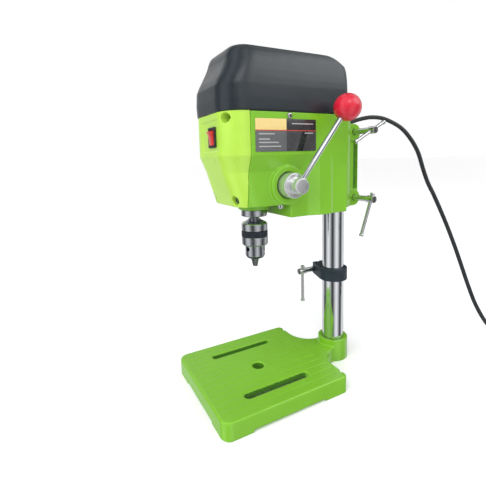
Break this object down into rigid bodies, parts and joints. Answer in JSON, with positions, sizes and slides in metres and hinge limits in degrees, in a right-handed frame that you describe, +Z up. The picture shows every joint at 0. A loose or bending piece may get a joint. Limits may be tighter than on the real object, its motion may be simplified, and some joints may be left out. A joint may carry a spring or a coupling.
{
  "type": "drill press",
  "caption": "Small bench drill press with slotted base, round column, belt-driven head, rack-fed quill, key chuck, feed lever and power cord.",
  "frame": {"origin": "on the column's axis at the level of the bench that the base stands on", "axes": "+Z up along the column, -Y towards the operator, +X the operator's right, where the feed lever is"},
  "size_m": [0.295, 0.4987, 0.441],
  "materials": {
    "green_casting": "gloss cast enamel",
    "green_front": "gloss enamel",
    "black_cover": "satin moulded",
    "chrome": "polished",
    "steel": "machined",
    "dark_steel": "blued",
    "black_iron": "black coated",
    "cast_alloy": "machined casting",
    "red_ball": "gloss",
    "red_rocker": "gloss",
    "black_plastic": "moulded",
    "label": "printed film",
    "magnet": "sintered",
    "copper": "wound wire",
    "bronze": "sintered",
    "carbon": "pressed carbon",
    "fan_plastic": "moulded",
    "belt_rubber": "moulded",
    "cord_rubber": "satin sheath",
    "tie": "moulded",
    "pin_metal": "nickel plated"
  },
  "bodies": {
    "base": {"base_casting": "green_casting", "column_tube": "chrome", "column_set_screw": "dark_steel", "power_cord": "cord_rubber", "cord_coil": "cord_rubber", "cord_tie": "tie", "plug_body": "cord_rubber", "plug_pins": "pin_metal"},
    "collar": {"stop_collar": "black_iron"},
    "collar_clamp": {"collar_screw": "chrome"},
    "collar_handle": {"collar_bar": "chrome"},
    "head": {"head_casting": "green_casting", "front_cover": "green_front", "front_cover_screws": "dark_steel", "belt_cover": "black_cover", "belt_cover_screws": "chrome", "nameplate": "label", "switch_body": "black_plastic", "motor_can": "steel", "motor_end_bell": "cast_alloy", "motor_magnets": "magnet", "motor_brushes": "carbon", "motor_bearings": "steel", "motor_screws": "steel", "drive_belt": "belt_rubber", "pulley_bearings": "steel", "pinion_bushes": "bronze", "return_spring": "dark_steel", "spring_cap": "black_plastic", "quill_guide_screw": "chrome", "cord_grip": "cord_rubber"},
    "rocker": {"switch_rocker": "red_rocker"},
    "upper_clamp": {"upper_clamp_screw": "chrome"},
    "upper_handle": {"upper_clamp_bar": "chrome"},
    "lower_clamp": {"lower_clamp_screw": "chrome"},
    "lower_handle": {"lower_clamp_bar": "chrome"},
    "rotor": {"motor_armature": "copper", "motor_shaft": "steel", "motor_commutator": "copper", "motor_fan": "fan_plastic", "motor_pulley": "cast_alloy"},
    "pulley": {"spindle_pulley": "cast_alloy", "pulley_sleeve": "steel"},
    "feed": {"pinion_shaft": "steel", "feed_hub": "cast_alloy", "feed_lever": "chrome", "lever_knob": "red_ball"},
    "quill_slide_body": {"quill": "steel", "quill_nut": "chrome", "quill_bearings": "steel"},
    "spindle_body": {"spindle": "steel", "chuck_body": "chrome"},
    "sleeve": {"chuck_sleeve": "chrome", "chuck_nut": "steel"},
    "jaw_1": {"chuck_jaw_1": "dark_steel"},
    "jaw_2": {"chuck_jaw_2": "dark_steel"},
    "jaw_3": {"chuck_jaw_3": "dark_steel"}
  },
  "joints": [
    {"name": "collar_slide", "type": "slide", "parent": "base", "child": "collar", "axis": [0, 0, 1], "range_m": [-0.05, 0.085]},
    {"name": "collar_screw_turn", "type": "hinge", "parent": "collar", "child": "collar_clamp", "pos_m": [-0.029, -0.036, 0.1355], "axis": [0, -1, 0], "range_deg": [-180, 180]},
    {"name": "collar_bar_slide", "type": "slide", "parent": "collar_clamp", "child": "collar_handle", "axis": [0, 0, 1], "range_m": [0, 0.039]},
    {"name": "head_lift", "type": "slide", "parent": "base", "child": "head", "axis": [0, 0, 1], "range_m": [-0.09, 0]},
    {"name": "rocker_tilt", "type": "hinge", "parent": "head", "child": "rocker", "pos_m": [0.012, -0.197, 0.3385], "axis": [1, 0, 0], "range_deg": [-24, 0]},
    {"name": "upper_screw_turn", "type": "hinge", "parent": "head", "child": "upper_clamp", "pos_m": [0.0465, 0.029, 0.3475], "axis": [1, 0, 0], "range_deg": [-180, 180]},
    {"name": "upper_bar_slide", "type": "slide", "parent": "upper_clamp", "child": "upper_handle", "axis": [0, -0.891, -0.454], "range_m": [-0.029, 0.01]},
    {"name": "lower_screw_turn", "type": "hinge", "parent": "head", "child": "lower_clamp", "pos_m": [0.0465, 0.029, 0.2505], "axis": [1, 0, 0], "range_deg": [-30, 220]},
    {"name": "lower_bar_slide", "type": "slide", "parent": "lower_clamp", "child": "lower_handle", "axis": [0, -0.342, -0.9397], "range_m": [-0.045, 0]},
    {"name": "motor_spin", "type": "hinge", "parent": "head", "child": "rotor", "pos_m": [0, -0.068, 0.3], "axis": [0, 0, 1], "continuous": true},
    {"name": "pulley_spin", "type": "hinge", "parent": "head", "child": "pulley", "pos_m": [0, -0.137, 0.38], "axis": [0, 0, 1], "continuous": true},
    {"name": "feed_turn", "type": "hinge", "parent": "head", "child": "feed", "pos_m": [0, -0.1166, 0.2793], "axis": [1, 0, 0], "range_deg": [0, 268.57], "stiffness_Nm_per_rad": 0.12, "springref_deg": -85.94},
    {"name": "quill_feed", "type": "slide", "parent": "head", "child": "quill_slide_body", "axis": [0, 0, -1], "range_m": [0, 0.03]},
    {"name": "spindle_spin", "type": "hinge", "parent": "quill_slide_body", "child": "spindle_body", "pos_m": [0, -0.137, 0.29], "axis": [0, 0, 1], "continuous": true},
    {"name": "sleeve_turn", "type": "hinge", "parent": "spindle_body", "child": "sleeve", "pos_m": [0, -0.137, 0.205], "axis": [0, 0, 1], "range_deg": [0, 1080]},
    {"name": "jaw_1_slide", "type": "slide", "parent": "spindle_body", "child": "jaw_1", "axis": [-0.0626, 0.2511, 0.9659], "range_m": [0, 0.0092]},
    {"name": "jaw_2_slide", "type": "slide", "parent": "spindle_body", "child": "jaw_2", "axis": [-0.1862, -0.1798, 0.9659], "range_m": [0, 0.0092]},
    {"name": "jaw_3_slide", "type": "slide", "parent": "spindle_body", "child": "jaw_3", "axis": [0.2488, -0.0713, 0.9659], "range_m": [0, 0.0092]}
  ],
  "couplings": [
    {"joint": "pulley_spin", "follows": "motor_spin", "ratio": 0.3295},
    {"joint": "spindle_spin", "follows": "motor_spin", "ratio": 0.3295},
    {"joint": "quill_feed", "follows": "feed_turn", "m_per_rad": 0.0064},
    {"joint": "sleeve_turn", "follows": "jaw_1_slide", "rad_per_m": 2048.7},
    {"joint": "jaw_2_slide", "follows": "jaw_1_slide", "ratio": 1},
    {"joint": "jaw_3_slide", "follows": "jaw_1_slide", "ratio": 1}
  ]
}
